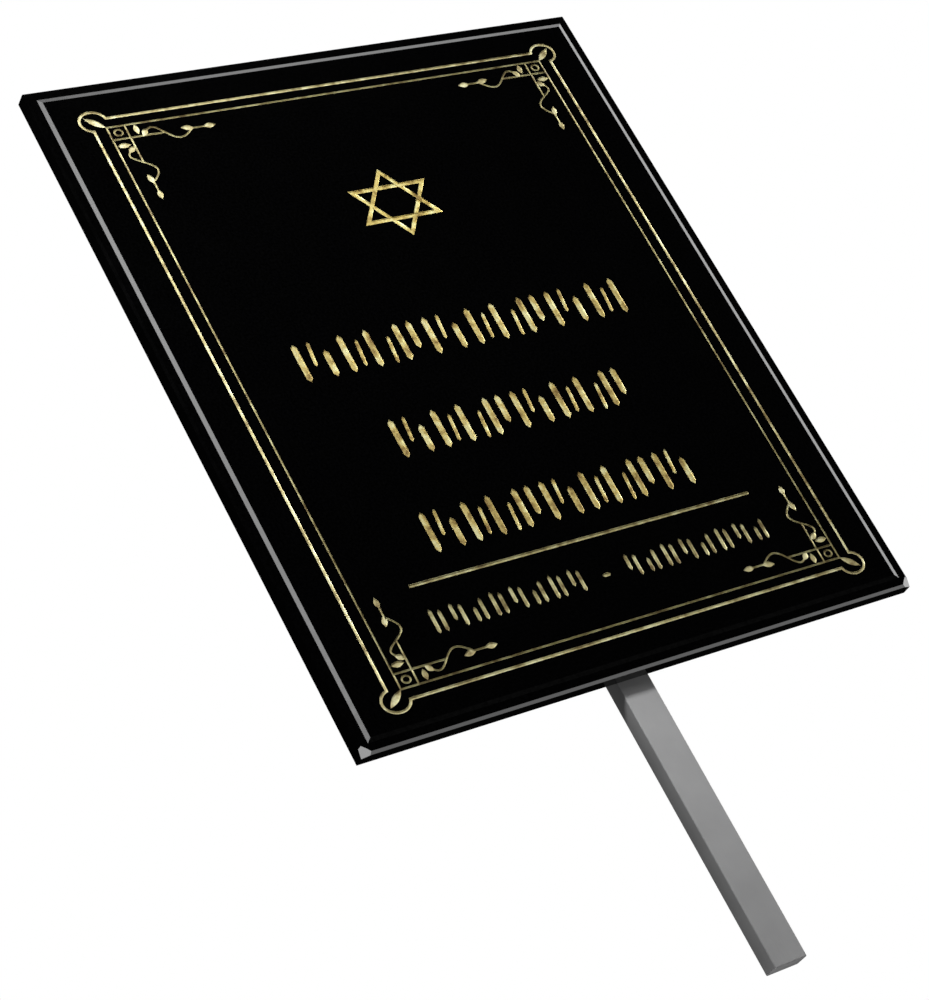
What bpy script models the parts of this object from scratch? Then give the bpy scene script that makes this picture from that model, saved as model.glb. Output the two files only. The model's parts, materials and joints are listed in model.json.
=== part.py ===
"""Grave plaque with stake: a polished stone plate with gilded engraving, bonded to a flat steel bar.

Metres, +Z up. The plaque faces -Y and stands upright on its bar. The origin is the middle of the
bar's foot, the end that is set in the ground. Places on the plaque's face are given as (x, z): x runs
right from the plate's centre line and z runs down from its top edge.
"""

import math

import bmesh
import bpy
from mathutils import Matrix

# Plate
PLATE_WIDTH = 0.280
PLATE_HEIGHT = 0.320
PLATE_THICKNESS = 0.008
FRONT_ARRIS_WIDTH = 0.0012  # chamfer round the front's outer edges, seen from the front
FRONT_ARRIS_DEPTH = 0.0007
BACK_ARRIS = 0.0004
FACET_WIDTH = 0.0033        # polished border inside the front chamfer
FACET_FALL = 0.0001
BEVEL_WIDTH = 0.0018        # slope from the border up to the raised face
BEVEL_FALL = 0.0004

# Bar
BAR_WIDTH = 0.016
BAR_DEPTH = 0.008
BAR_LENGTH_BELOW = 0.128    # from the plate's lower edge to the foot
BAR_LENGTH_BEHIND = 0.240   # stretch bonded to the plate's back
BAR_ARRIS = 0.0005
BOND_GAP = 0.0003           # glue line between the bar and the plate

# Engraving
CUT_DEPTH = 0.0005
CUT_CLEARANCE = 0.001       # how far a cutting tool stands out of the face
LINE_WIDTH = 0.0012
LINE_LAP = 0.0005           # how far a straight run of the outer line enters a roundel
FRAME_SIDE_MARGIN = 0.0219  # from the plate's edge to the outer line
FRAME_TOP_MARGIN = 0.0189
FRAME_BOTTOM_MARGIN = 0.0162
FRAME_GAP_ACROSS = 0.0061   # between the two lines at the sides
FRAME_GAP_ALONG = 0.0048    # between the two lines at the top and bottom

# Corner ornament, drawn on a square and then spread sideways
ORNAMENT_UNIT = 0.0095
ORNAMENT_SPREAD_X = 1.10
ORNAMENT_SPREAD_Z = 0.88
THIN_LINE = 0.0008
BUD_WIDTH = 0.0029
LEAF_WIDTH = 0.0026
ARC_STEPS = 14
CURL_STEPS = 11
RING_STEPS = 8
LEAF_STEPS = 5

# Roundel round the frame's corner, and the square inside it, in ornament units
ROUNDEL_RADIUS = 0.60
ROUNDEL_OFFSET_X = 0.17
ROUNDEL_OFFSET_Z = 0.12
BUD_REACH_X = 0.18
BUD_REACH_Z = 0.16
RING_PLACE = 0.40
RING_RADIUS = 0.18

# Arm from each side of the square, in ornament units along and across it
ARM_ACROSS = 0.80
STEM_END = 2.38
CURL_START = 1.42
CURL_END = 3.57
CURL_SWING = 0.44
CURL_TURNS = 0.98           # of a full wave
CURL_EASE = 0.27            # how much longer the second bend is than the first
TIP_START = 3.50
TIP_END = 4.25
ARM_LEAVES = (
    ((1.22, 0.06), (1.22, 0.66)),
    ((1.36, 0.78), (1.68, 0.42)),
    ((3.12, 0.68), (3.72, 0.80)),
    ((4.12, 0.80), (4.69, 0.80)),
)

# Star
STAR_WIDTH = 0.0362
STAR_HEIGHT = 0.0330
STAR_LINE = 0.0019
STAR_DROP = 0.231           # its centre, as a share of the framed height

# Rows of strokes: top, height and half width as shares of the framed field, and number of cells
LARGE_ROWS = (
    (0.4355, 0.0655, 0.3605, 8),
    (0.5870, 0.0655, 0.2575, 6),
    (0.7395, 0.0665, 0.2925, 7),
)
SMALL_ROW = (0.8835, 0.0385, 0.3680, 18)
RULE_DROP = 0.8431
RULE_HALF_SPAN = 0.3680
RULE_WIDTH = 0.0014
THICK_STROKE = 0.0028
THIN_STROKE = 0.0016
SMALL_STROKE = 0.0017
STROKE_LEAN = 0.0011
STROKE_POINT = 0.6          # length of a stroke's point, as a share of its width

# Arrangements of strokes in a cell: place across the cell, width, foot and head as shares of the row
LARGE_CELLS = (
    ((0.16, THICK_STROKE, 0.0, 1.0), (0.46, THIN_STROKE, 0.35, 1.0), (0.76, THICK_STROKE, 0.0, 0.72)),
    ((0.18, THIN_STROKE, 0.0, 0.72), (0.46, THICK_STROKE, 0.0, 1.0), (0.78, THICK_STROKE, 0.25, 1.0)),
    ((0.18, THICK_STROKE, 0.0, 1.0), (0.48, THIN_STROKE, 0.1, 0.8), (0.78, THICK_STROKE, 0.0, 1.0)),
)
SMALL_CELLS = (
    ((0.3, SMALL_STROKE, 0.0, 1.0), (0.7, SMALL_STROKE, 0.0, 0.9)),
    ((0.3, SMALL_STROKE, 0.0, 0.62), (0.7, SMALL_STROKE, 0.0, 0.9)),
    ((0.3, SMALL_STROKE, 0.3, 1.0), (0.7, SMALL_STROKE, 0.0, 0.9)),
)
CELL_ORDER = (0, 2, 1)
DASH_HALF_SPAN = 0.0021     # short dash in the middle of the small row
DASH_DROP = 0.6             # its share of the row's height

# Levels, from the back of the plate to its front
FOOT_Z = 0.0
PLATE_BOTTOM_Z = FOOT_Z + BAR_LENGTH_BELOW
PLATE_TOP_Z = PLATE_BOTTOM_Z + PLATE_HEIGHT
PLATE_CENTRE_X = BAR_WIDTH / 2      # the bar's right edge lies on the plate's centre line
PLATE_BACK_Y = -BAR_DEPTH / 2 - BOND_GAP
FACE_Y = PLATE_BACK_Y - PLATE_THICKNESS
FRAME_HALF_WIDTH = PLATE_WIDTH / 2 - FRAME_SIDE_MARGIN
FRAME_HEIGHT = PLATE_HEIGHT - FRAME_TOP_MARGIN - FRAME_BOTTOM_MARGIN
INNER_HALF_WIDTH = FRAME_HALF_WIDTH - FRAME_GAP_ACROSS


def clear_scene():
    for item in list(bpy.data.objects):
        bpy.data.objects.remove(item, do_unlink=True)


def new_collection(name):
    collection = bpy.data.collections.new(name)
    bpy.context.scene.collection.children.link(collection)
    return collection


def principled(name, colour, roughness, metallic):
    material = bpy.data.materials.new(name)
    material.use_nodes = True
    shader = material.node_tree.nodes["Principled BSDF"]
    shader.inputs["Base Color"].default_value = (*colour, 1.0)
    shader.inputs["Roughness"].default_value = roughness
    shader.inputs["Metallic"].default_value = metallic
    return material


def object_from_bmesh(name, mesh_data, collection, material=None):
    mesh = bpy.data.meshes.new(name)
    mesh_data.to_mesh(mesh)
    mesh_data.free()
    item = bpy.data.objects.new(name, mesh)
    if material:
        mesh.materials.append(material)
    collection.objects.link(item)
    return item


def block(size_x, size_y, size_z):
    """A box centred on its origin."""
    mesh_data = bmesh.new()
    bmesh.ops.create_cube(mesh_data, size=1.0)
    bmesh.ops.scale(mesh_data, vec=(size_x, size_y, size_z), verts=mesh_data.verts)
    return mesh_data


def face_towards(mesh_data, direction):
    """The face that points most along Y, or against it for a direction of -1."""
    return max(mesh_data.faces, key=lambda face: face.normal.y * direction)


def inset(mesh_data, face, width, rise):
    """Shrink one flat face by width and lift what is left by rise."""
    bmesh.ops.inset_region(mesh_data, faces=[face], thickness=width, depth=rise, use_even_offset=True)
    mesh_data.normal_update()
    return face


def make_plate(collection):
    """Plate with a border and a sloped bevel round its raised face, and a plain back."""
    fall = FRONT_ARRIS_DEPTH + FACET_FALL + BEVEL_FALL
    slab_depth = PLATE_THICKNESS - fall - BACK_ARRIS
    mesh_data = block(PLATE_WIDTH, slab_depth, PLATE_HEIGHT)
    mesh_data.normal_update()
    front = face_towards(mesh_data, -1)
    inset(mesh_data, front, FRONT_ARRIS_WIDTH, FRONT_ARRIS_DEPTH)
    inset(mesh_data, front, FACET_WIDTH, FACET_FALL)
    inset(mesh_data, front, BEVEL_WIDTH, BEVEL_FALL)
    back = face_towards(mesh_data, 1)
    inset(mesh_data, back, BACK_ARRIS, BACK_ARRIS)
    stone = principled("polished_stone", (0.004, 0.004, 0.004), 0.12, 0.0)
    plate = object_from_bmesh("plaque", mesh_data, collection, stone)
    plate.location = (
        PLATE_CENTRE_X,
        FACE_Y + fall + slab_depth / 2,
        (PLATE_BOTTOM_Z + PLATE_TOP_Z) / 2,
    )
    return plate


def make_bar(collection):
    """Flat bar from the foot up behind the plate."""
    length = BAR_LENGTH_BELOW + BAR_LENGTH_BEHIND
    mesh_data = block(BAR_WIDTH, BAR_DEPTH, length)
    bmesh.ops.bevel(mesh_data, geom=mesh_data.edges, offset=BAR_ARRIS, segments=1, affect="EDGES")
    steel = principled("painted_steel", (0.30, 0.30, 0.30), 0.5, 0.0)
    bar = object_from_bmesh("stake", mesh_data, collection, steel)
    bar.location = (0.0, 0.0, FOOT_Z + length / 2)
    return bar


def cutting_tool(name, outlines, collection):
    """Tool with flat outlines of (x, z) points, from clear of the face down to the engraving's floor."""
    curve = bpy.data.curves.new(name, "CURVE")
    curve.dimensions = "2D"
    curve.fill_mode = "BOTH"
    curve.extrude = (CUT_DEPTH + CUT_CLEARANCE) / 2
    for outline in outlines:
        spline = curve.splines.new("POLY")
        spline.points.add(len(outline) - 1)
        for point, (x, z) in zip(spline.points, outline):
            point.co = (x, -z, 0.0, 1.0)
        spline.use_cyclic_u = True
    drawn = bpy.data.objects.new(name, curve)
    drawn.matrix_world = (
        Matrix.Translation((PLATE_CENTRE_X, FACE_Y + (CUT_DEPTH - CUT_CLEARANCE) / 2, PLATE_TOP_Z))
        @ Matrix.Rotation(math.radians(90), 4, "X")
    )
    collection.objects.link(drawn)
    bpy.context.view_layer.update()
    solid = bpy.data.meshes.new_from_object(drawn.evaluated_get(bpy.context.evaluated_depsgraph_get()))
    mesh_data = bmesh.new()
    mesh_data.from_mesh(solid)
    bmesh.ops.remove_doubles(mesh_data, verts=mesh_data.verts, dist=0.000001)
    bmesh.ops.recalc_face_normals(mesh_data, faces=mesh_data.faces)
    tool = object_from_bmesh(name + "_tool", mesh_data, collection)
    tool.matrix_world = drawn.matrix_world
    tool.hide_render = True
    tool.display_type = "WIRE"
    bpy.data.objects.remove(drawn, do_unlink=True)
    return tool


def side_points(path, width, closed):
    """Points half a width to the left of a path, with mitred corners."""
    count = len(path)
    points = []
    for index, (x, z) in enumerate(path):
        before = path[index - 1] if closed or index else None
        after = path[(index + 1) % count] if closed or index < count - 1 else None
        normals = []
        for start, end in ((before, (x, z)), ((x, z), after)):
            if start and end:
                dx, dz = end[0] - start[0], end[1] - start[1]
                length = math.hypot(dx, dz)
                normals.append((-dz / length, dx / length))
        nx = sum(normal[0] for normal in normals) / len(normals)
        nz = sum(normal[1] for normal in normals) / len(normals)
        stretch = width / 2 / (nx * nx + nz * nz)
        points.append((x + nx * stretch, z + nz * stretch))
    return points


def band(path, width, closed=False):
    """Outlines of a line of even width that follows a path."""
    left = side_points(path, width, closed)
    right = side_points(path[::-1], width, closed)
    return [left, right] if closed else [left + right]


def ellipse(centre_x, centre_z, radius_x, radius_z, start=0.0, turn=360.0, steps=ARC_STEPS):
    """Points along an ellipse, angles in degrees, from the right and clockwise on the face."""
    last = steps if turn < 360 else steps - 1
    angles = [math.radians(start + turn * step / steps) for step in range(last + 1)]
    return [(centre_x + radius_x * math.cos(a), centre_z + radius_z * math.sin(a)) for a in angles]


def leaf(start, end, width, steps=LEAF_STEPS):
    """Outline that swells from a point to full width and back to a point."""
    dx, dz = end[0] - start[0], end[1] - start[1]
    length = math.hypot(dx, dz)
    nx, nz = -dz / length, dx / length
    sides = []
    for sign in (1, -1):
        side = []
        for step in range(steps + 1):
            share = step / steps
            swell = sign * width / 2 * math.sin(math.pi * share)
            side.append((start[0] + dx * share + nx * swell, start[1] + dz * share + nz * swell))
        sides.append(side if sign == 1 else side[-2:0:-1])
    return sides[0] + sides[1]


def pointed_bar(start, end, width):
    """Outline of a straight stroke with a short point at each end."""
    dx, dz = end[0] - start[0], end[1] - start[1]
    length = math.hypot(dx, dz)
    ux, uz = dx / length, dz / length
    point = STROKE_POINT * width
    shoulders = []
    for (x, z), along in ((start, point), (end, -point)):
        for side in (width / 2, -width / 2):
            shoulders.append((x + ux * along - uz * side, z + uz * along + ux * side))
    return [start, shoulders[0], shoulders[2], end, shoulders[3], shoulders[1]]


def star_outlines():
    """Two triangles laid over each other, drawn as lines of even width."""
    centre_z = FRAME_TOP_MARGIN + STAR_DROP * FRAME_HEIGHT
    triangles = []
    for turn in (-90, 90):
        corners = [
            (
                STAR_WIDTH / math.sqrt(3) * math.cos(math.radians(turn + 120 * corner)),
                centre_z + STAR_HEIGHT / 2 * math.sin(math.radians(turn + 120 * corner)),
            )
            for corner in range(3)
        ]
        triangles.append(band(corners, STAR_LINE, closed=True))
    return triangles


def mirrored(outline, sign_x, flip_z):
    """A corner's outline carried to another corner of the frame."""
    middle = FRAME_TOP_MARGIN + FRAME_HEIGHT / 2
    return [(sign_x * x, 2 * middle - z if flip_z else z) for x, z in outline]


def roundel_ends():
    """Angles at which the roundel meets the outer line's side and top, in degrees."""
    at_side = math.degrees(math.acos(-ROUNDEL_OFFSET_X / ROUNDEL_RADIUS))
    at_top = 360 - math.degrees(math.asin(ROUNDEL_OFFSET_Z / ROUNDEL_RADIUS))
    return at_side, at_top


def ornament_units():
    return ORNAMENT_UNIT * ORNAMENT_SPREAD_X, ORNAMENT_UNIT * ORNAMENT_SPREAD_Z


def arm_shapes(place):
    """One arm of a corner: stem, curl, tip line and leaves; place puts (along, across) on the face."""
    curl = []
    for step in range(CURL_STEPS + 1):
        share = step / CURL_STEPS
        turn = (CURL_TURNS + CURL_EASE) * share - CURL_EASE * share ** 2
        across = ARM_ACROSS - CURL_SWING * math.sin(2 * math.pi * turn)
        curl.append(place(CURL_START + (CURL_END - CURL_START) * share, across))
    stem = [place(ARM_ACROSS, ARM_ACROSS), place(STEM_END, ARM_ACROSS)]
    tip_line = [place(TIP_START, ARM_ACROSS), place(TIP_END, ARM_ACROSS)]
    lines = [band(path, THIN_LINE) for path in (stem, tip_line, curl)]
    return lines + [[leaf(place(*start), place(*end), LEAF_WIDTH)] for start, end in ARM_LEAVES]


def corner_shapes():
    """Outlines of the top left corner: roundel with bud, square with ring, and an arm each way."""
    unit_x, unit_z = ornament_units()
    outer_x, outer_z = -FRAME_HALF_WIDTH, FRAME_TOP_MARGIN
    inner_x, inner_z = -INNER_HALF_WIDTH, FRAME_TOP_MARGIN + FRAME_GAP_ALONG

    def level(along, across):
        return (inner_x + along * unit_x, inner_z + across * unit_z)

    def upright(along, across):
        return (inner_x + across * unit_x, inner_z + along * unit_z)

    at_side, at_top = roundel_ends()
    roundel = ellipse(
        outer_x + ROUNDEL_OFFSET_X * unit_x,
        outer_z + ROUNDEL_OFFSET_Z * unit_z,
        ROUNDEL_RADIUS * unit_x,
        ROUNDEL_RADIUS * unit_z,
        at_side,
        at_top - at_side,
    )
    bud_start = (outer_x - BUD_REACH_X * unit_x, outer_z - BUD_REACH_Z * unit_z)
    ring = ellipse(
        *level(RING_PLACE, RING_PLACE), RING_RADIUS * unit_x, RING_RADIUS * unit_z, steps=RING_STEPS
    )
    square = [level(0, ARM_ACROSS), level(ARM_ACROSS, ARM_ACROSS), level(ARM_ACROSS, 0)]
    shapes = [
        band(roundel, LINE_WIDTH),
        [leaf(bud_start, (inner_x, inner_z), BUD_WIDTH)],
        band(square, THIN_LINE),
        band(ring, THIN_LINE, closed=True),
    ]
    return shapes + arm_shapes(level) + arm_shapes(upright)


def frame_outlines():
    """The outer line in four straight runs between the roundels, and the inner line all round."""
    unit_x, unit_z = ornament_units()
    at_side, at_top = roundel_ends()
    short_x = (ROUNDEL_OFFSET_X + ROUNDEL_RADIUS * math.cos(math.radians(at_top))) * unit_x
    short_z = (ROUNDEL_OFFSET_Z + ROUNDEL_RADIUS * math.sin(math.radians(at_side))) * unit_z
    top, bottom = FRAME_TOP_MARGIN, FRAME_TOP_MARGIN + FRAME_HEIGHT
    reach_x = FRAME_HALF_WIDTH - short_x + LINE_LAP
    end_z = short_z - LINE_LAP
    groups = [band([(-reach_x, z), (reach_x, z)], LINE_WIDTH) for z in (top, bottom)]
    for x in (-FRAME_HALF_WIDTH, FRAME_HALF_WIDTH):
        groups.append(band([(x, top + end_z), (x, bottom - end_z)], LINE_WIDTH))
    inner_top = top + FRAME_GAP_ALONG
    inner_bottom = bottom - FRAME_GAP_ALONG
    corners = [
        (-INNER_HALF_WIDTH, inner_top),
        (INNER_HALF_WIDTH, inner_top),
        (INNER_HALF_WIDTH, inner_bottom),
        (-INNER_HALF_WIDTH, inner_bottom),
    ]
    groups.append(band(corners, THIN_LINE, closed=True))
    return groups


def stroke_row(top_share, height_share, half_span_share, cells, arrangements, gap=0):
    """A row of pointed upright strokes in cells, leaving out gap cells each side of the middle."""
    top = FRAME_TOP_MARGIN + top_share * FRAME_HEIGHT
    height = height_share * FRAME_HEIGHT
    half_span = half_span_share * 2 * FRAME_HALF_WIDTH
    pitch = 2 * half_span / cells
    outlines = []
    for cell in range(cells):
        left = -half_span + cell * pitch
        if abs(left + pitch / 2) < gap * pitch:
            continue
        for place, width, foot, head in arrangements[CELL_ORDER[cell % len(CELL_ORDER)]]:
            x = left + place * pitch
            lean = STROKE_LEAN / 2 if width == THIN_STROKE else 0.0
            low = (x - lean, top + height * (1 - foot))
            high = (x + lean, top + height * (1 - head))
            outlines.append(pointed_bar(low, high, width))
    return outlines


def dash():
    """Short level dash in the middle of the small row."""
    top_share, height_share = SMALL_ROW[:2]
    z = FRAME_TOP_MARGIN + (top_share + height_share * DASH_DROP) * FRAME_HEIGHT
    return pointed_bar((-DASH_HALF_SPAN, z), (DASH_HALF_SPAN, z), SMALL_STROKE)


def rule():
    z = FRAME_TOP_MARGIN + RULE_DROP * FRAME_HEIGHT
    reach = RULE_HALF_SPAN * 2 * FRAME_HALF_WIDTH
    return band([(-reach, z), (reach, z)], RULE_WIDTH)


def engrave(plate, tools):
    cut = plate.modifiers.new("engraving", "BOOLEAN")
    cut.operation = "DIFFERENCE"
    cut.solver = "EXACT"
    cut.operand_type = "COLLECTION"
    cut.collection = tools


def main():
    clear_scene()
    pieces = new_collection("grave_plaque_with_stake")
    tools = new_collection("engraving_tools")
    plate = make_plate(pieces)
    make_bar(pieces)
    for number, outlines in enumerate(star_outlines()):
        cutting_tool(f"star_{number}", outlines, tools)
    for number, outlines in enumerate(frame_outlines()):
        cutting_tool(f"frame_{number}", outlines, tools)
    for number, outlines in enumerate(corner_shapes()):
        for side in (-1, 1):
            for lower in (False, True):
                moved = [mirrored(outline, -side, lower) for outline in outlines]
                cutting_tool(f"corner_{number}", moved, tools)
    for number, row in enumerate(LARGE_ROWS):
        cutting_tool(f"row_{number}", stroke_row(*row, LARGE_CELLS), tools)
    cutting_tool("small_row", stroke_row(*SMALL_ROW, SMALL_CELLS, gap=1) + [dash()], tools)
    cutting_tool("rule", rule(), tools)
    engrave(plate, tools)


main()
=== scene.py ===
"""Looks of the grave plaque with stake: polished black stone, gilded engraving and a painted steel bar.

Metres, +Z up, in the frame's own place. Places on the plaque's face are given as (x, z): x runs right
from the plate's centre line and z runs down from its top edge.
"""

import json
import math

import bmesh
import bpy
from mathutils import Matrix, Vector

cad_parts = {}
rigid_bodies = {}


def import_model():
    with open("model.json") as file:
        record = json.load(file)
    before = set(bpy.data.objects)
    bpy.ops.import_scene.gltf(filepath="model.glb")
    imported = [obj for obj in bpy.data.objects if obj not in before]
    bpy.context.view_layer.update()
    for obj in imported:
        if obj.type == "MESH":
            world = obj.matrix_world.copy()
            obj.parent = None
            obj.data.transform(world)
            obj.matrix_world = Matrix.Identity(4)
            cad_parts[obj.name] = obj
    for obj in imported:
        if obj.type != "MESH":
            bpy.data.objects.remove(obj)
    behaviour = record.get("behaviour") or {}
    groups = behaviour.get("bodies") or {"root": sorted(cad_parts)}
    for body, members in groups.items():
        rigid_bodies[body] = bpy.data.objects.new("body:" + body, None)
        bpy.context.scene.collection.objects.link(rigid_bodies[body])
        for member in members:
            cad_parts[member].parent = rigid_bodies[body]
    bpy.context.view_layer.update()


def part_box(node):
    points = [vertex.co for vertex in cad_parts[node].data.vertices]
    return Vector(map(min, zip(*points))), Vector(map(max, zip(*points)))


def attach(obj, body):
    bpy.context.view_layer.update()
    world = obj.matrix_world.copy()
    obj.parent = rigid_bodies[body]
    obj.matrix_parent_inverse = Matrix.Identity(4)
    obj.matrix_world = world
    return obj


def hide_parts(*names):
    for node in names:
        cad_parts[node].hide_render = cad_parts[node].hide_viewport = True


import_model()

# Plate, as far as the frame doesn't give it
FRONT_ARRIS_WIDTH = 0.0012  # flat chamfer round the front's outer edges
FRONT_ARRIS_DEPTH = 0.0007
BACK_ARRIS = 0.0004
BORDER_WIDTH = 0.0033       # polished border inside the chamfer
BORDER_FALL = 0.0001        # how much lower the border is at its outer side
BEVEL_WIDTH = 0.0018        # slope from the border up to the raised face
BEVEL_FALL = 0.0004
CORNER_FACET_REACH = 0.0029  # how far in from each edge a lower corner's facet starts
CORNER_FACET_TILT = 27.0    # degrees between the facet and the face
FLAT_NORMAL = 0.999         # share of its normal by which a flat panel looks to the front or back
BEVEL_NORMALS = (0.97, 0.99)  # the same for the sides of the bevel
PANEL_AREA = 0.01           # the plate's front and back are larger than this
BEVEL_SIDE_AREA = 0.0002    # each side of the bevel is larger than this

# Bar
BAR_ARRIS = 0.0005
BAR_SEGMENTS = 4
BAR_SMOOTH_ANGLE = 40.0     # edges that turn less than this are shaded round

# Engraving
CUT_DEPTH = 0.0005
CUT_CLEARANCE = 0.001       # how far a cutter stands out of the face
LEAF_THICKNESS = 0.00003    # gold leaf that lines the cuts
STONE_FINISHES = 3          # materials of the plate that come before the golds
POLISHED, HONED, SAWN = range(STONE_FINISHES)
MERGE_DISTANCE = 0.000001   # points closer than this are one point
LINE_WIDTH = 0.0012
LINE_LAP = 0.0005           # how far the outer line runs into the roundels
OUTER_RUNS = 4              # straight runs of the outer line
FRAME_SIDE_MARGIN = 0.0219
FRAME_TOP_MARGIN = 0.0189
FRAME_BOTTOM_MARGIN = 0.0162
FRAME_GAP_ACROSS = 0.0061
FRAME_GAP_ALONG = 0.0048

# Corner ornament: widths are in metres, and its other sizes in units that are wider than high
ORNAMENT_UNIT = 0.0095
ORNAMENT_SPREAD_X = 1.10
ORNAMENT_SPREAD_Z = 0.88
THIN_LINE = 0.0008
BUD_WIDTH = 0.0029
LEAF_WIDTH = 0.0026
ARC_STEPS = 40
CURL_STEPS = 32
RING_STEPS = 24
LEAF_STEPS = 12
ROUNDEL_RADIUS = 0.60
ROUNDEL_OFFSET_X = 0.17
ROUNDEL_OFFSET_Z = 0.12
BUD_REACH_X = 0.18
BUD_REACH_Z = 0.16
RING_PLACE = 0.40
RING_RADIUS = 0.18
ARM_ACROSS = 0.80
STEM_END = 2.38
CURL_START = 1.42
CURL_END = 3.57
CURL_SWING = 0.44
CURL_TURNS = 0.98           # of a full wave
CURL_EASE = 0.27            # how much longer the second bend is than the first
TIP_START = 3.50
TIP_END = 4.25
ARM_LEAVES = (
    ((1.22, 0.06), (1.22, 0.66)),
    ((1.36, 0.78), (1.68, 0.42)),
    ((3.12, 0.68), (3.72, 0.80)),
    ((4.12, 0.80), (4.69, 0.80)),
)

# Star
STAR_WIDTH = 0.0362
STAR_HEIGHT = 0.0330
STAR_LINE = 0.0019
STAR_DROP = 0.231           # its centre, as a share of the framed height

# Rows of strokes: top, height and half width as shares of the framed field, and number of cells
LARGE_ROWS = (
    (0.4355, 0.0655, 0.3605, 8),
    (0.5870, 0.0655, 0.2575, 6),
    (0.7395, 0.0665, 0.2925, 7),
)
SMALL_ROW = (0.8835, 0.0385, 0.3680, 18)
RULE_DROP = 0.8431
RULE_HALF_SPAN = 0.3680
RULE_WIDTH = 0.0014
THICK_STROKE = 0.0028
THIN_STROKE = 0.0016
SMALL_STROKE = 0.0017
STROKE_LEAN = 0.0011
STROKE_POINT = 0.6          # length of a stroke's point, as a share of its width

# Arrangements of strokes in a cell: place across the cell, width, foot and head as shares of the row
LARGE_CELLS = (
    ((0.16, THICK_STROKE, 0.0, 1.0), (0.46, THIN_STROKE, 0.35, 1.0), (0.76, THICK_STROKE, 0.0, 0.72)),
    ((0.18, THIN_STROKE, 0.0, 0.72), (0.46, THICK_STROKE, 0.0, 1.0), (0.78, THICK_STROKE, 0.25, 1.0)),
    ((0.18, THICK_STROKE, 0.0, 1.0), (0.48, THIN_STROKE, 0.1, 0.8), (0.78, THICK_STROKE, 0.0, 1.0)),
)
SMALL_CELLS = (
    ((0.3, SMALL_STROKE, 0.0, 1.0), (0.7, SMALL_STROKE, 0.0, 0.9)),
    ((0.3, SMALL_STROKE, 0.0, 0.62), (0.7, SMALL_STROKE, 0.0, 0.9)),
    ((0.3, SMALL_STROKE, 0.3, 1.0), (0.7, SMALL_STROKE, 0.0, 0.9)),
)
CELL_ORDER = (0, 2, 1)
DASH_HALF_SPAN = 0.0021
DASH_DROP = 0.6

# Levels, read from the frame
PLATE_LOW, PLATE_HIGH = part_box("plaque")
BAR_LOW, BAR_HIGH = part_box("stake")
FACE_Y = PLATE_LOW.y
PLATE_TOP_Z = PLATE_HIGH.z
PLATE_CENTRE_X = (PLATE_LOW.x + PLATE_HIGH.x) / 2
PLATE_WIDTH = PLATE_HIGH.x - PLATE_LOW.x
PLATE_HEIGHT = PLATE_HIGH.z - PLATE_LOW.z
FRAME_HALF_WIDTH = PLATE_WIDTH / 2 - FRAME_SIDE_MARGIN
FRAME_HEIGHT = PLATE_HEIGHT - FRAME_TOP_MARGIN - FRAME_BOTTOM_MARGIN
INNER_HALF_WIDTH = FRAME_HALF_WIDTH - FRAME_GAP_ACROSS

# Studio
FLOOR_Z = -0.25             # clear of the camera, which looks up at the plaque
FLOOR_SIZE = 9.0
BACKGROUND = 1.0            # brightness behind the object
ROOM_LIGHT = 0.005          # brightness of the room that the object is lit by and mirrors
LIGHT_AIM = (0.008, 0.0, 0.28)  # point that every softbox faces

# Softboxes: bearing to the right of the plaque's front, height angle, distance, width, height, power,
# turn on its own axis, and spread, in degrees, metres and watts
SOFTBOXES = {
    "key": (-22.6, 30.6, 0.63, 0.12, 0.12, 1.3, 0.0, 80.0),
    "front": (0.9, 25.0, 1.50, 0.25, 0.80, 4.2, 0.0, 180.0),
    "upper_right": (51.0, 52.0, 1.50, 0.60, 0.42, 2.5, 0.0, 180.0),
    "right": (68.5, 21.0, 1.50, 0.25, 0.80, 3.4, 0.0, 180.0),
    "left": (-80.0, 0.0, 1.60, 0.60, 0.60, 0.5, 0.0, 180.0),
    "low_strip": (40.9, -46.7, 0.50, 0.40, 0.07, 0.22, 30.0, 180.0),
    "left_corner": (-26.0, -34.0, 0.53, 0.07, 0.07, 0.13, 0.0, 180.0),
    "right_corner": (80.4, -14.6, 0.74, 0.10, 0.10, 0.16, 0.0, 180.0),
    "under": (-119.6, -78.9, 0.525, 0.10, 0.10, 0.36, 0.0, 180.0),
    "back": (180.0, 45.0, 2.00, 1.00, 1.00, 14.0, 0.0, 180.0),
}
SUN_STRENGTH = 3.3          # from straight above, for the floor
SUN_WIDTH = 0.30            # angle that it spans, in radians
SUN_HEIGHT = 3.0

# Camera
CAMERA_PLACE = (-0.6300, -0.8440, -0.1716)
CAMERA_AIM = (-0.0358, -0.0123, 0.2188)
CAMERA_ROLL = -28.84
LENS = 98.47                # millimetres, like the sensor's width
SENSOR = 36.0
CLIP_START = 0.01

# Golds: darkest, middle and brightest patches
GOLDS = {
    "bright_gold": ((0.15, 0.095, 0.024), (0.385, 0.305, 0.10), (0.52, 0.495, 0.26)),
    "star_gold": ((0.19, 0.125, 0.03), (0.48, 0.385, 0.12), (0.64, 0.61, 0.30)),
    "line_gold": ((0.20, 0.15, 0.06), (0.46, 0.41, 0.21), (0.68, 0.66, 0.42)),
    "dull_gold": ((0.13, 0.095, 0.036), (0.30, 0.265, 0.12), (0.45, 0.43, 0.24)),
}
GOLD_STOPS = (0.36, 0.50, 0.62)  # where these colours lie in the pattern of patches
NOISE_RANGE = (0.3, 0.7)    # most of a noise lies between these


def deselect_all():
    """Nothing is selected, and no object is in edit mode."""
    if bpy.context.object and bpy.context.object.mode != "OBJECT":
        bpy.ops.object.mode_set(mode="OBJECT")
    bpy.ops.object.select_all(action="DESELECT")


def choose(*items):
    """Only these objects are selected, and the first is active."""
    deselect_all()
    for item in items:
        item.select_set(True)
    bpy.context.view_layer.objects.active = items[0]


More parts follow.
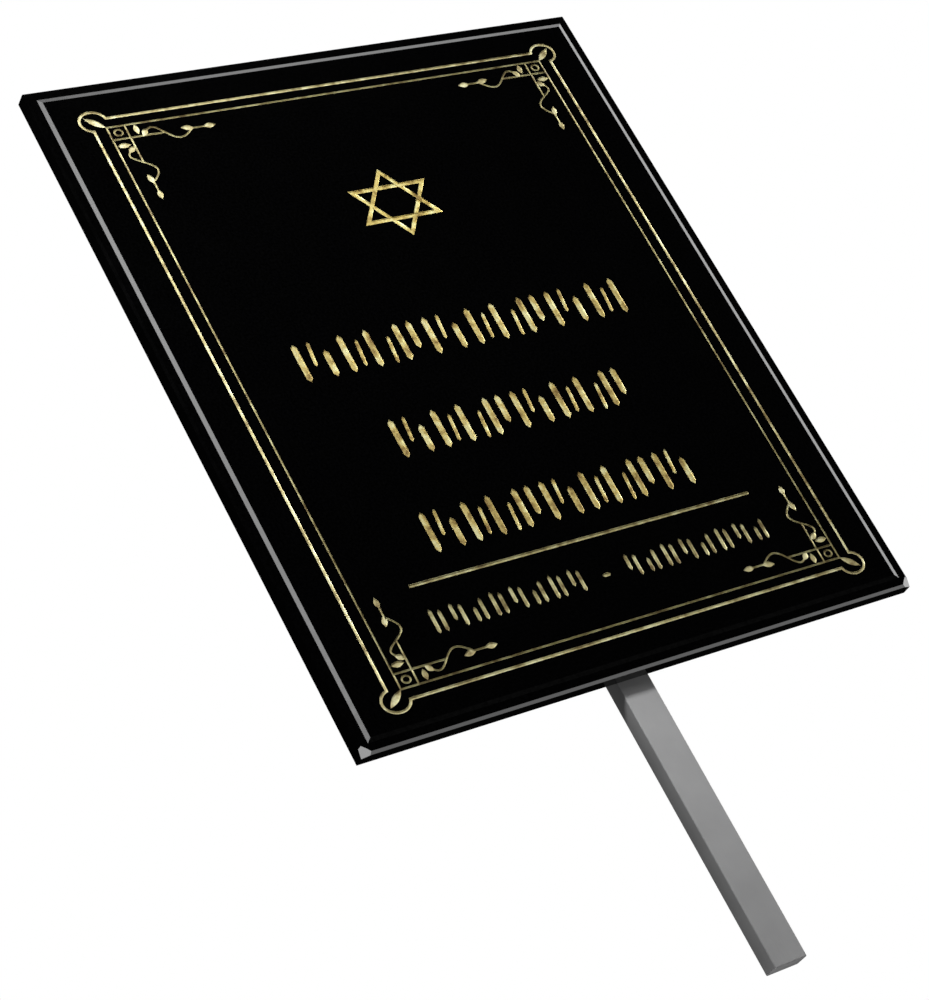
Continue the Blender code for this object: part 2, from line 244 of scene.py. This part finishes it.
def settle(item):
    """Puts the object's place, turn and scale into its mesh."""
    choose(item)
    bpy.ops.object.transform_apply(location=True, rotation=True, scale=True)


def block(name, low, high):
    """Cube stretched between two corners."""
    deselect_all()
    centre = (Vector(low) + Vector(high)) / 2
    size = Vector(high) - Vector(low)
    bpy.ops.mesh.primitive_cube_add(size=1.0, location=centre)
    item = bpy.context.object
    item.name = name
    item.data.name = name
    item.scale = size
    settle(item)
    return item


def select_parts(item, kind, wanted):
    """In edit mode, selects the faces or the edges that wanted(part) is true for."""
    bpy.ops.mesh.select_mode(type=kind)
    bpy.ops.mesh.select_all(action="DESELECT")
    mesh_data = bmesh.from_edit_mesh(item.data)
    mesh_data.normal_update()
    for part in mesh_data.faces if kind == "FACE" else mesh_data.edges:
        part.select_set(wanted(part))
    bmesh.update_edit_mesh(item.data)


def merge_doubles(item):
    """Joins points that lie in the same place."""
    choose(item)
    bpy.ops.object.mode_set(mode="EDIT")
    bpy.ops.mesh.select_all(action="SELECT")
    bpy.ops.mesh.remove_doubles(threshold=MERGE_DISTANCE)
    bpy.ops.object.mode_set(mode="OBJECT")


def apply_modifier(item, kind, **values):
    """Adds a modifier with these values and makes it part of the mesh."""
    choose(item)
    modifier = item.modifiers.new(kind.lower(), kind)
    for key, value in values.items():
        setattr(modifier, key, value)
    bpy.ops.object.modifier_apply(modifier=modifier.name)


# Outlines on the face
def side_points(path, width, closed):
    """Points half a width to the left of a path, with mitred corners."""
    count = len(path)
    points = []
    for index, (x, z) in enumerate(path):
        before = path[index - 1] if closed or index else None
        after = path[(index + 1) % count] if closed or index < count - 1 else None
        normals = []
        for start, end in ((before, (x, z)), ((x, z), after)):
            if start and end:
                dx, dz = end[0] - start[0], end[1] - start[1]
                length = math.hypot(dx, dz)
                normals.append((-dz / length, dx / length))
        nx = sum(normal[0] for normal in normals) / len(normals)
        nz = sum(normal[1] for normal in normals) / len(normals)
        stretch = width / 2 / (nx * nx + nz * nz)
        points.append((x + nx * stretch, z + nz * stretch))
    return points


def band(path, width, closed=False):
    """Outlines of a line of even width that follows a path."""
    left = side_points(path, width, closed)
    right = side_points(path[::-1], width, closed)
    return [left, right] if closed else [left + right]


def ellipse(centre_x, centre_z, radius_x, radius_z, start=0.0, turn=360.0, steps=ARC_STEPS):
    """Points along an ellipse, angles in degrees, from the right and clockwise on the face."""
    last = steps if turn < 360 else steps - 1
    angles = [math.radians(start + turn * step / steps) for step in range(last + 1)]
    return [(centre_x + radius_x * math.cos(a), centre_z + radius_z * math.sin(a)) for a in angles]


def leaf(start, end, width, steps=LEAF_STEPS):
    """Outline that swells from a point to full width and back to a point."""
    dx, dz = end[0] - start[0], end[1] - start[1]
    length = math.hypot(dx, dz)
    nx, nz = -dz / length, dx / length
    sides = []
    for sign in (1, -1):
        side = []
        for step in range(steps + 1):
            share = (1 - math.cos(math.pi * step / steps)) / 2
            swell = sign * width / 2 * math.sin(math.pi * share)
            side.append((start[0] + dx * share + nx * swell, start[1] + dz * share + nz * swell))
        sides.append(side if sign == 1 else side[-2:0:-1])
    return sides[0] + sides[1]


def pointed_bar(start, end, width):
    """Outline of a straight stroke with a short point at each end."""
    dx, dz = end[0] - start[0], end[1] - start[1]
    length = math.hypot(dx, dz)
    ux, uz = dx / length, dz / length
    point = STROKE_POINT * width
    shoulders = []
    for (x, z), along in ((start, point), (end, -point)):
        for side in (width / 2, -width / 2):
            shoulders.append((x + ux * along - uz * side, z + uz * along + ux * side))
    return [start, shoulders[0], shoulders[2], end, shoulders[3], shoulders[1]]


def star_outlines():
    """Two triangles laid over each other, drawn as lines of even width."""
    centre_z = FRAME_TOP_MARGIN + STAR_DROP * FRAME_HEIGHT
    triangles = []
    for turn in (-90, 90):
        corners = [
            (
                STAR_WIDTH / math.sqrt(3) * math.cos(math.radians(turn + 120 * corner)),
                centre_z + STAR_HEIGHT / 2 * math.sin(math.radians(turn + 120 * corner)),
            )
            for corner in range(3)
        ]
        triangles.append(band(corners, STAR_LINE, closed=True))
    return triangles


def mirrored(outline, sign_x, flip_z):
    """A corner's outline carried to another corner of the frame."""
    middle = FRAME_TOP_MARGIN + FRAME_HEIGHT / 2
    return [(sign_x * x, 2 * middle - z if flip_z else z) for x, z in outline]


def roundel_ends():
    """Angles at which the roundel meets the outer line's side and top, in degrees."""
    at_side = math.degrees(math.acos(-ROUNDEL_OFFSET_X / ROUNDEL_RADIUS))
    at_top = 360 - math.degrees(math.asin(ROUNDEL_OFFSET_Z / ROUNDEL_RADIUS))
    return at_side, at_top


def ornament_units():
    """The ornament's unit across and down the face."""
    return ORNAMENT_UNIT * ORNAMENT_SPREAD_X, ORNAMENT_UNIT * ORNAMENT_SPREAD_Z


def arm_shapes(place):
    """An arm's lines and its leaves; place puts (along, across) on the face."""
    curl = []
    for step in range(CURL_STEPS + 1):
        share = step / CURL_STEPS
        turn = (CURL_TURNS + CURL_EASE) * share - CURL_EASE * share ** 2
        across = ARM_ACROSS - CURL_SWING * math.sin(2 * math.pi * turn)
        curl.append(place(CURL_START + (CURL_END - CURL_START) * share, across))
    stem = [place(ARM_ACROSS, ARM_ACROSS), place(STEM_END, ARM_ACROSS)]
    tip_line = [place(TIP_START, ARM_ACROSS), place(TIP_END, ARM_ACROSS)]
    lines = [band(path, THIN_LINE) for path in (stem, tip_line, curl)]
    leaves = [[leaf(place(*start), place(*end), LEAF_WIDTH)] for start, end in ARM_LEAVES]
    return lines, leaves


def corner_shapes():
    """Top left corner in two lists: roundel, bud and leaves, then square, ring and thin lines."""
    unit_x, unit_z = ornament_units()
    outer_x, outer_z = -FRAME_HALF_WIDTH, FRAME_TOP_MARGIN
    inner_x, inner_z = -INNER_HALF_WIDTH, FRAME_TOP_MARGIN + FRAME_GAP_ALONG

    def level(along, across):
        """Point on the arm that runs along the top."""
        return (inner_x + along * unit_x, inner_z + across * unit_z)

    def upright(along, across):
        """Point on the arm that runs down the side."""
        return (inner_x + across * unit_x, inner_z + along * unit_z)

    at_side, at_top = roundel_ends()
    roundel = ellipse(
        outer_x + ROUNDEL_OFFSET_X * unit_x,
        outer_z + ROUNDEL_OFFSET_Z * unit_z,
        ROUNDEL_RADIUS * unit_x,
        ROUNDEL_RADIUS * unit_z,
        at_side,
        at_top - at_side,
    )
    bud_start = (outer_x - BUD_REACH_X * unit_x, outer_z - BUD_REACH_Z * unit_z)
    ring = ellipse(
        *level(RING_PLACE, RING_PLACE), RING_RADIUS * unit_x, RING_RADIUS * unit_z, steps=RING_STEPS
    )
    square = [level(0, ARM_ACROSS), level(ARM_ACROSS, ARM_ACROSS), level(ARM_ACROSS, 0)]
    bold = [band(roundel, LINE_WIDTH), [leaf(bud_start, (inner_x, inner_z), BUD_WIDTH)]]
    thin = [band(square, THIN_LINE), band(ring, THIN_LINE, closed=True)]
    for way in (level, upright):
        lines, leaves = arm_shapes(way)
        bold += leaves
        thin += lines
    return bold, thin


def frame_outlines():
    """The outer line in four straight runs between the roundels, and the inner line all round."""
    unit_x, unit_z = ornament_units()
    at_side, at_top = roundel_ends()
    short_x = (ROUNDEL_OFFSET_X + ROUNDEL_RADIUS * math.cos(math.radians(at_top))) * unit_x
    short_z = (ROUNDEL_OFFSET_Z + ROUNDEL_RADIUS * math.sin(math.radians(at_side))) * unit_z
    top, bottom = FRAME_TOP_MARGIN, FRAME_TOP_MARGIN + FRAME_HEIGHT
    reach_x = FRAME_HALF_WIDTH - short_x + LINE_LAP
    end_z = short_z - LINE_LAP
    groups = [band([(-reach_x, z), (reach_x, z)], LINE_WIDTH) for z in (top, bottom)]
    for x in (-FRAME_HALF_WIDTH, FRAME_HALF_WIDTH):
        groups.append(band([(x, top + end_z), (x, bottom - end_z)], LINE_WIDTH))
    inner_top = top + FRAME_GAP_ALONG
    inner_bottom = bottom - FRAME_GAP_ALONG
    corners = [
        (-INNER_HALF_WIDTH, inner_top),
        (INNER_HALF_WIDTH, inner_top),
        (INNER_HALF_WIDTH, inner_bottom),
        (-INNER_HALF_WIDTH, inner_bottom),
    ]
    groups.append(band(corners, THIN_LINE, closed=True))
    return groups


def stroke_row(top_share, height_share, half_span_share, cells, arrangements, gap=0):
    """A row of pointed upright strokes in cells, leaving out gap cells each side of the middle."""
    top = FRAME_TOP_MARGIN + top_share * FRAME_HEIGHT
    height = height_share * FRAME_HEIGHT
    half_span = half_span_share * 2 * FRAME_HALF_WIDTH
    pitch = 2 * half_span / cells
    outlines = []
    for cell in range(cells):
        left = -half_span + cell * pitch
        if abs(left + pitch / 2) < gap * pitch:
            continue
        for place, width, foot, head in arrangements[CELL_ORDER[cell % len(CELL_ORDER)]]:
            x = left + place * pitch
            lean = STROKE_LEAN / 2 if width == THIN_STROKE else 0.0
            low = (x - lean, top + height * (1 - foot))
            high = (x + lean, top + height * (1 - head))
            outlines.append(pointed_bar(low, high, width))
    return outlines


def dash():
    """Short level dash in the middle of the small row."""
    top_share, height_share = SMALL_ROW[:2]
    z = FRAME_TOP_MARGIN + (top_share + height_share * DASH_DROP) * FRAME_HEIGHT
    return pointed_bar((-DASH_HALF_SPAN, z), (DASH_HALF_SPAN, z), SMALL_STROKE)


def rule():
    """Level line between the large rows and the small one."""
    z = FRAME_TOP_MARGIN + RULE_DROP * FRAME_HEIGHT
    reach = RULE_HALF_SPAN * 2 * FRAME_HALF_WIDTH
    return band([(-reach, z), (reach, z)], RULE_WIDTH)


# Engraving cutters
def cutter(name, outlines, collection, gold):
    """Cutter with flat outlines of (x, z) points, from clear of the face down to the cut's floor."""
    curve = bpy.data.curves.new(name, "CURVE")
    curve.dimensions = "2D"
    curve.fill_mode = "BOTH"
    curve.extrude = (CUT_DEPTH + CUT_CLEARANCE) / 2
    for outline in outlines:
        spline = curve.splines.new("POLY")
        spline.points.add(len(outline) - 1)
        for point, (x, z) in zip(spline.points, outline):
            point.co = (x, -z, 0.0, 1.0)
        spline.use_cyclic_u = True
    item = bpy.data.objects.new(name, curve)
    item.location = (PLATE_CENTRE_X, FACE_Y + (CUT_DEPTH - CUT_CLEARANCE) / 2, PLATE_TOP_Z)
    item.rotation_euler = (math.radians(90), 0, 0)
    collection.objects.link(item)
    choose(item)
    bpy.ops.object.convert(target="MESH")
    item = bpy.context.object
    item.data.materials.append(gold)
    settle(item)
    merge_doubles(item)
    bpy.ops.object.mode_set(mode="EDIT")
    bpy.ops.mesh.select_all(action="SELECT")
    bpy.ops.mesh.normals_make_consistent(inside=False)
    bpy.ops.object.mode_set(mode="OBJECT")
    return item


def make_cutters(collection):
    """Every cutter carries the gold that its cut is lined with."""
    bright, star, line, dull = [gold_leaf(name) for name in GOLDS]
    for number, outlines in enumerate(star_outlines()):
        cutter(f"star_{number}", outlines, collection, star)
    for number, outlines in enumerate(frame_outlines()):
        cutter(f"border_{number}", outlines, collection, line if number < OUTER_RUNS else dull)
    for gold, shapes in zip((line, dull), corner_shapes()):
        for outlines in shapes:
            for sign_x in (1, -1):
                for lower in (False, True):
                    moved = [mirrored(outline, sign_x, lower) for outline in outlines]
                    cutter("corner", moved, collection, gold)
    for number, row in enumerate(LARGE_ROWS):
        cutter(f"row_{number}", stroke_row(*row, LARGE_CELLS), collection, bright)
    cutter("small_row", stroke_row(*SMALL_ROW, SMALL_CELLS, gap=1) + [dash()], collection, dull)
    cutter("rule", rule(), collection, dull)


# Finishes
def new_material(name):
    """A material with its node tree and its shader."""
    material = bpy.data.materials.new(name)
    material.use_nodes = True
    shader = material.node_tree.nodes["Principled BSDF"]
    return material, material.node_tree, shader


def noise(tree, scale, detail=3.0, roughness=0.5, stretch=(1.0, 1.0, 1.0)):
    """Noise in metres of the piece's own place: scale is its waves in a metre."""
    place = tree.nodes.new("ShaderNodeTexCoord")
    mapping = tree.nodes.new("ShaderNodeMapping")
    mapping.inputs["Scale"].default_value = stretch
    texture = tree.nodes.new("ShaderNodeTexNoise")
    texture.inputs["Scale"].default_value = scale
    texture.inputs["Detail"].default_value = detail
    texture.inputs["Roughness"].default_value = roughness
    tree.links.new(place.outputs["Object"], mapping.inputs["Vector"])
    tree.links.new(mapping.outputs["Vector"], texture.inputs["Vector"])
    return texture.outputs["Fac"]


def ramp(tree, factor, *stops):
    """Colour ramp through (place, colour) stops."""
    node = tree.nodes.new("ShaderNodeValToRGB")
    elements = node.color_ramp.elements
    while len(elements) < len(stops):
        elements.new(0.5)
    for element, (place, colour) in zip(elements, stops):
        element.position = place
        element.color = (*colour, 1.0)
    tree.links.new(factor, node.inputs["Fac"])
    return node.outputs["Color"]


def spread(tree, factor, low, high):
    """Turns a noise into values from low to high."""
    node = tree.nodes.new("ShaderNodeMapRange")
    node.inputs["From Min"].default_value = NOISE_RANGE[0]
    node.inputs["From Max"].default_value = NOISE_RANGE[1]
    node.inputs["To Min"].default_value = low
    node.inputs["To Max"].default_value = high
    tree.links.new(factor, node.inputs["Value"])
    return node.outputs["Result"]


def bump(tree, shader, height, distance):
    """Fine relief in the shading, as high as distance."""
    node = tree.nodes.new("ShaderNodeBump")
    node.inputs["Strength"].default_value = 1.0
    node.inputs["Distance"].default_value = distance
    tree.links.new(height, node.inputs["Height"])
    tree.links.new(node.outputs["Normal"], shader.inputs["Normal"])


def polished_stone():
    """Black stone with faint grey grains, polished to a mirror."""
    material, tree, shader = new_material("polished_stone")
    grain = noise(tree, scale=900.0, detail=2.0)
    colour = ramp(tree, grain, (0.35, (0.0001, 0.0001, 0.0001)), (0.72, (0.0007, 0.0007, 0.0008)))
    tree.links.new(colour, shader.inputs["Base Color"])
    tree.links.new(spread(tree, noise(tree, scale=60.0), low=0.07, high=0.10), shader.inputs["Roughness"])
    shader.inputs["IOR"].default_value = 1.5
    return material


def honed_bevel():
    """The same stone with a satin finish on the narrow slope."""
    material, tree, shader = new_material("honed_bevel")
    grain = noise(tree, scale=700.0)
    colour = ramp(tree, grain, (0.3, (0.001, 0.001, 0.001)), (0.75, (0.003, 0.003, 0.003)))
    tree.links.new(colour, shader.inputs["Base Color"])
    tree.links.new(spread(tree, noise(tree, scale=250.0), low=0.13, high=0.18), shader.inputs["Roughness"])
    shader.inputs["IOR"].default_value = 1.5
    return material


def sawn_back():
    """Sawn back, dark grey and matt, with faint level saw lines."""
    material, tree, shader = new_material("sawn_back")
    grain = noise(tree, scale=500.0, detail=4.0)
    colour = ramp(tree, grain, (0.3, (0.020, 0.020, 0.021)), (0.7, (0.045, 0.045, 0.046)))
    tree.links.new(colour, shader.inputs["Base Color"])
    shader.inputs["Roughness"].default_value = 0.55
    lines = noise(tree, scale=260.0, detail=2.0, stretch=(0.06, 0.06, 1.0))
    bump(tree, shader, lines, distance=0.00008)
    return material


def gold_leaf(name):
    """Leaf rubbed into the cuts: bright patches over darker, thinner gold."""
    material, tree, shader = new_material(name)
    patches = noise(tree, scale=170.0, detail=5.0, roughness=0.6)
    colour = ramp(tree, patches, *zip(GOLD_STOPS, GOLDS[name]))
    tree.links.new(colour, shader.inputs["Base Color"])
    shader.inputs["Metallic"].default_value = 0.35
    tree.links.new(spread(tree, noise(tree, scale=400.0), low=0.38, high=0.52), shader.inputs["Roughness"])
    bump(tree, shader, noise(tree, scale=900.0, detail=4.0), distance=0.00006)
    return material


def steel_paint():
    """Grey paint on flat steel bar, with the steel's faint long rolling lines under it."""
    material, tree, shader = new_material("steel_paint")
    cloud = noise(tree, scale=45.0)
    colour = ramp(tree, cloud, (0.35, (0.265, 0.265, 0.267)), (0.65, (0.300, 0.300, 0.302)))
    tree.links.new(colour, shader.inputs["Base Color"])
    tree.links.new(spread(tree, noise(tree, scale=300.0), low=0.48, high=0.60), shader.inputs["Roughness"])
    lines = noise(tree, scale=1400.0, detail=2.0, stretch=(1.0, 1.0, 0.25))
    bump(tree, shader, lines, distance=0.00003)
    return material


# Pieces
def make_plate():
    """Plate with flat arrises, polished border, honed bevel, raised face and sawn back."""
    fall = FRONT_ARRIS_DEPTH + BORDER_FALL + BEVEL_FALL
    plate = block("stone_plate", PLATE_LOW + Vector((0, fall, 0)), PLATE_HIGH)
    plate.data.materials.append(polished_stone())
    plate.data.materials.append(honed_bevel())
    plate.data.materials.append(sawn_back())
    bpy.ops.object.mode_set(mode="EDIT")
    back_y = PLATE_HIGH.y - BACK_ARRIS
    select_parts(plate, "EDGE", lambda edge: all(vertex.co.y > back_y for vertex in edge.verts))
    bpy.ops.mesh.bevel(offset=BACK_ARRIS, segments=1, affect="EDGES")
    select_parts(plate, "FACE", lambda face: face.normal.y < -FLAT_NORMAL and face.calc_area() > PANEL_AREA)
    bpy.ops.mesh.inset(thickness=FRONT_ARRIS_WIDTH, depth=FRONT_ARRIS_DEPTH, use_even_offset=True)
    bpy.ops.mesh.inset(thickness=BORDER_WIDTH, depth=BORDER_FALL, use_even_offset=True)
    bpy.ops.mesh.inset(thickness=BEVEL_WIDTH, depth=BEVEL_FALL, use_even_offset=True)
    for side in (-1, 1):
        ease_corner(side)
    mark_faces(plate, HONED, on_bevel)
    mark_faces(plate, SAWN, lambda face: face.normal.y > FLAT_NORMAL and face.calc_area() > PANEL_AREA)
    bpy.ops.object.mode_set(mode="OBJECT")
    return plate


def on_bevel(face):
    """True for the four sides of the bevel, and not for the small facets at the corners."""
    low, high = BEVEL_NORMALS
    return low < -face.normal.y < high and face.calc_area() > BEVEL_SIDE_AREA


def ease_corner(side):
    """Cuts a small polished facet across a lower corner of the front."""
    place = Vector((
        PLATE_CENTRE_X + side * (PLATE_WIDTH / 2 - CORNER_FACET_REACH),
        FACE_Y + BEVEL_FALL,
        PLATE_LOW.z + CORNER_FACET_REACH,
    ))
    slant = math.sin(math.radians(CORNER_FACET_TILT)) / math.sqrt(2)
    outwards = Vector((side * slant, -math.cos(math.radians(CORNER_FACET_TILT)), -slant))
    bpy.ops.mesh.select_all(action="SELECT")
    bpy.ops.mesh.bisect(plane_co=place, plane_no=outwards, use_fill=True, clear_outer=True)


def mark_faces(item, index, wanted):
    """In edit mode, gives the item's material of that index to the faces that are wanted."""
    select_parts(item, "FACE", wanted)
    item.active_material_index = index
    bpy.ops.object.material_slot_assign()


def engrave(plate):
    """Cuts the ornament, the star and the rows of strokes into the face."""
    cutters = bpy.data.collections.new("engraving_cutters")
    bpy.context.scene.collection.children.link(cutters)
    make_cutters(cutters)
    apply_modifier(
        plate,
        "BOOLEAN",
        operation="DIFFERENCE",
        solver="EXACT",
        operand_type="COLLECTION",
        collection=cutters,
        material_mode="TRANSFER",
    )
    for item in list(cutters.objects):
        bpy.data.objects.remove(item, do_unlink=True)
    bpy.data.collections.remove(cutters)
    merge_doubles(plate)


def is_gilded(face):
    """True for the faces that the cutters left, which carry a gold."""
    return face.material_index >= STONE_FINISHES


def make_gilding(plate):
    """Gold leaf over the engraving's floors and sides."""
    choose(plate)
    bpy.ops.object.mode_set(mode="EDIT")
    select_parts(plate, "FACE", is_gilded)
    bpy.ops.mesh.duplicate()
    bpy.ops.mesh.separate(type="SELECTED")
    mark_faces(plate, POLISHED, is_gilded)
    bpy.ops.object.mode_set(mode="OBJECT")
    gilding = next(item for item in bpy.context.selected_objects if item != plate)
    gilding.name = "gilding"
    gilding.data.name = "gilding"
    for item in (plate, gilding):
        choose(item)
        bpy.ops.object.material_slot_remove_unused()
    apply_modifier(gilding, "SOLIDIFY", thickness=LEAF_THICKNESS, offset=1.0, use_even_offset=False)
    return gilding


def make_bar():
    """Flat bar with rounded edges and a square-cut foot."""
    bar = block("steel_stake", BAR_LOW, BAR_HIGH)
    bar.data.materials.append(steel_paint())
    bpy.ops.object.mode_set(mode="EDIT")
    select_parts(bar, "EDGE", lambda edge: True)
    bpy.ops.mesh.bevel(offset=BAR_ARRIS, segments=BAR_SEGMENTS, affect="EDGES")
    bpy.ops.object.mode_set(mode="OBJECT")
    bpy.ops.object.shade_smooth_by_angle(angle=math.radians(BAR_SMOOTH_ANGLE))
    return bar


# Studio
def make_floor():
    """Pale floor, which the object neither mirrors nor is lit by."""
    deselect_all()
    bpy.ops.mesh.primitive_plane_add(size=FLOOR_SIZE, location=(0, 0, FLOOR_Z))
    floor = bpy.context.object
    floor.name = "floor"
    material, tree, shader = new_material("pale_floor")
    cloud = noise(tree, scale=1.5, detail=2.0)
    colour = ramp(tree, cloud, (0.3, (0.78, 0.78, 0.77)), (0.7, (0.82, 0.82, 0.81)))
    tree.links.new(colour, shader.inputs["Base Color"])
    shader.inputs["Roughness"].default_value = 0.8
    floor.data.materials.append(material)
    floor.visible_glossy = False
    floor.visible_diffuse = False


def make_softbox(name, bearing, rise, distance, width, height, power, turn, spread_angle):
    """Rectangular light that faces the plaque from a bearing and a height angle, turned on its own axis."""
    level = math.cos(math.radians(rise))
    away = Vector((
        level * math.sin(math.radians(bearing)),
        -level * math.cos(math.radians(bearing)),
        math.sin(math.radians(rise)),
    ))
    deselect_all()
    bpy.ops.object.light_add(type="AREA", location=Vector(LIGHT_AIM) + away * distance)
    softbox = bpy.context.object
    softbox.name = name + "_softbox"
    turned = away.to_track_quat("Z", "Y").to_matrix() @ Matrix.Rotation(math.radians(turn), 3, "Z")
    softbox.rotation_euler = turned.to_euler()
    softbox.data.shape = "RECTANGLE"
    softbox.data.size = width
    softbox.data.size_y = height
    softbox.data.energy = power
    softbox.data.spread = math.radians(spread_angle)
    softbox.visible_camera = False


def make_sun():
    """Soft light from straight above, which keeps the floor pale all over."""
    deselect_all()
    bpy.ops.object.light_add(type="SUN", location=(0, 0, SUN_HEIGHT))
    sun = bpy.context.object
    sun.data.energy = SUN_STRENGTH
    sun.data.angle = SUN_WIDTH


def make_world():
    """White behind the object, and a dim room that it mirrors."""
    world = bpy.data.worlds.new("studio")
    bpy.context.scene.world = world
    world.use_nodes = True
    tree = world.node_tree
    tree.nodes.clear()
    seen = tree.nodes.new("ShaderNodeLightPath")
    backdrop = tree.nodes.new("ShaderNodeBackground")
    room = tree.nodes.new("ShaderNodeBackground")
    pick = tree.nodes.new("ShaderNodeMixShader")
    output = tree.nodes.new("ShaderNodeOutputWorld")
    backdrop.inputs["Strength"].default_value = BACKGROUND
    backdrop.inputs["Color"].default_value = (1, 1, 1, 1)
    room.inputs["Strength"].default_value = ROOM_LIGHT
    room.inputs["Color"].default_value = (1, 1, 1, 1)
    tree.links.new(seen.outputs["Is Camera Ray"], pick.inputs[0])
    tree.links.new(room.outputs[0], pick.inputs[1])
    tree.links.new(backdrop.outputs[0], pick.inputs[2])
    tree.links.new(pick.outputs[0], output.inputs["Surface"])
    bpy.context.scene.view_settings.view_transform = "Standard"


def make_camera():
    """Looks up at the plaque from the lower left, turned so that the plaque leans to the left."""
    deselect_all()
    bpy.ops.object.camera_add(location=CAMERA_PLACE)
    camera = bpy.context.object
    sight = Vector(CAMERA_AIM) - Vector(CAMERA_PLACE)
    turned = sight.to_track_quat("-Z", "Y").to_matrix() @ Matrix.Rotation(math.radians(CAMERA_ROLL), 3, "Z")
    camera.rotation_euler = turned.to_euler()
    camera.data.lens = LENS
    camera.data.sensor_width = SENSOR
    camera.data.clip_start = CLIP_START
    bpy.context.scene.camera = camera


def main():
    """The studio first, then the plate with its gilding, and the bar."""
    make_camera()
    make_world()
    make_floor()
    for name, values in SOFTBOXES.items():
        make_softbox(name, *values)
    make_sun()
    plate = make_plate()
    engrave(plate)
    gilding = make_gilding(plate)
    bar = make_bar()
    for piece, slot in ((plate, "polished_stone"), (gilding, "gilding"), (bar, "painted_steel")):
        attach(piece, "root")
    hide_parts("plaque")
    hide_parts("stake")
    deselect_all()


main()
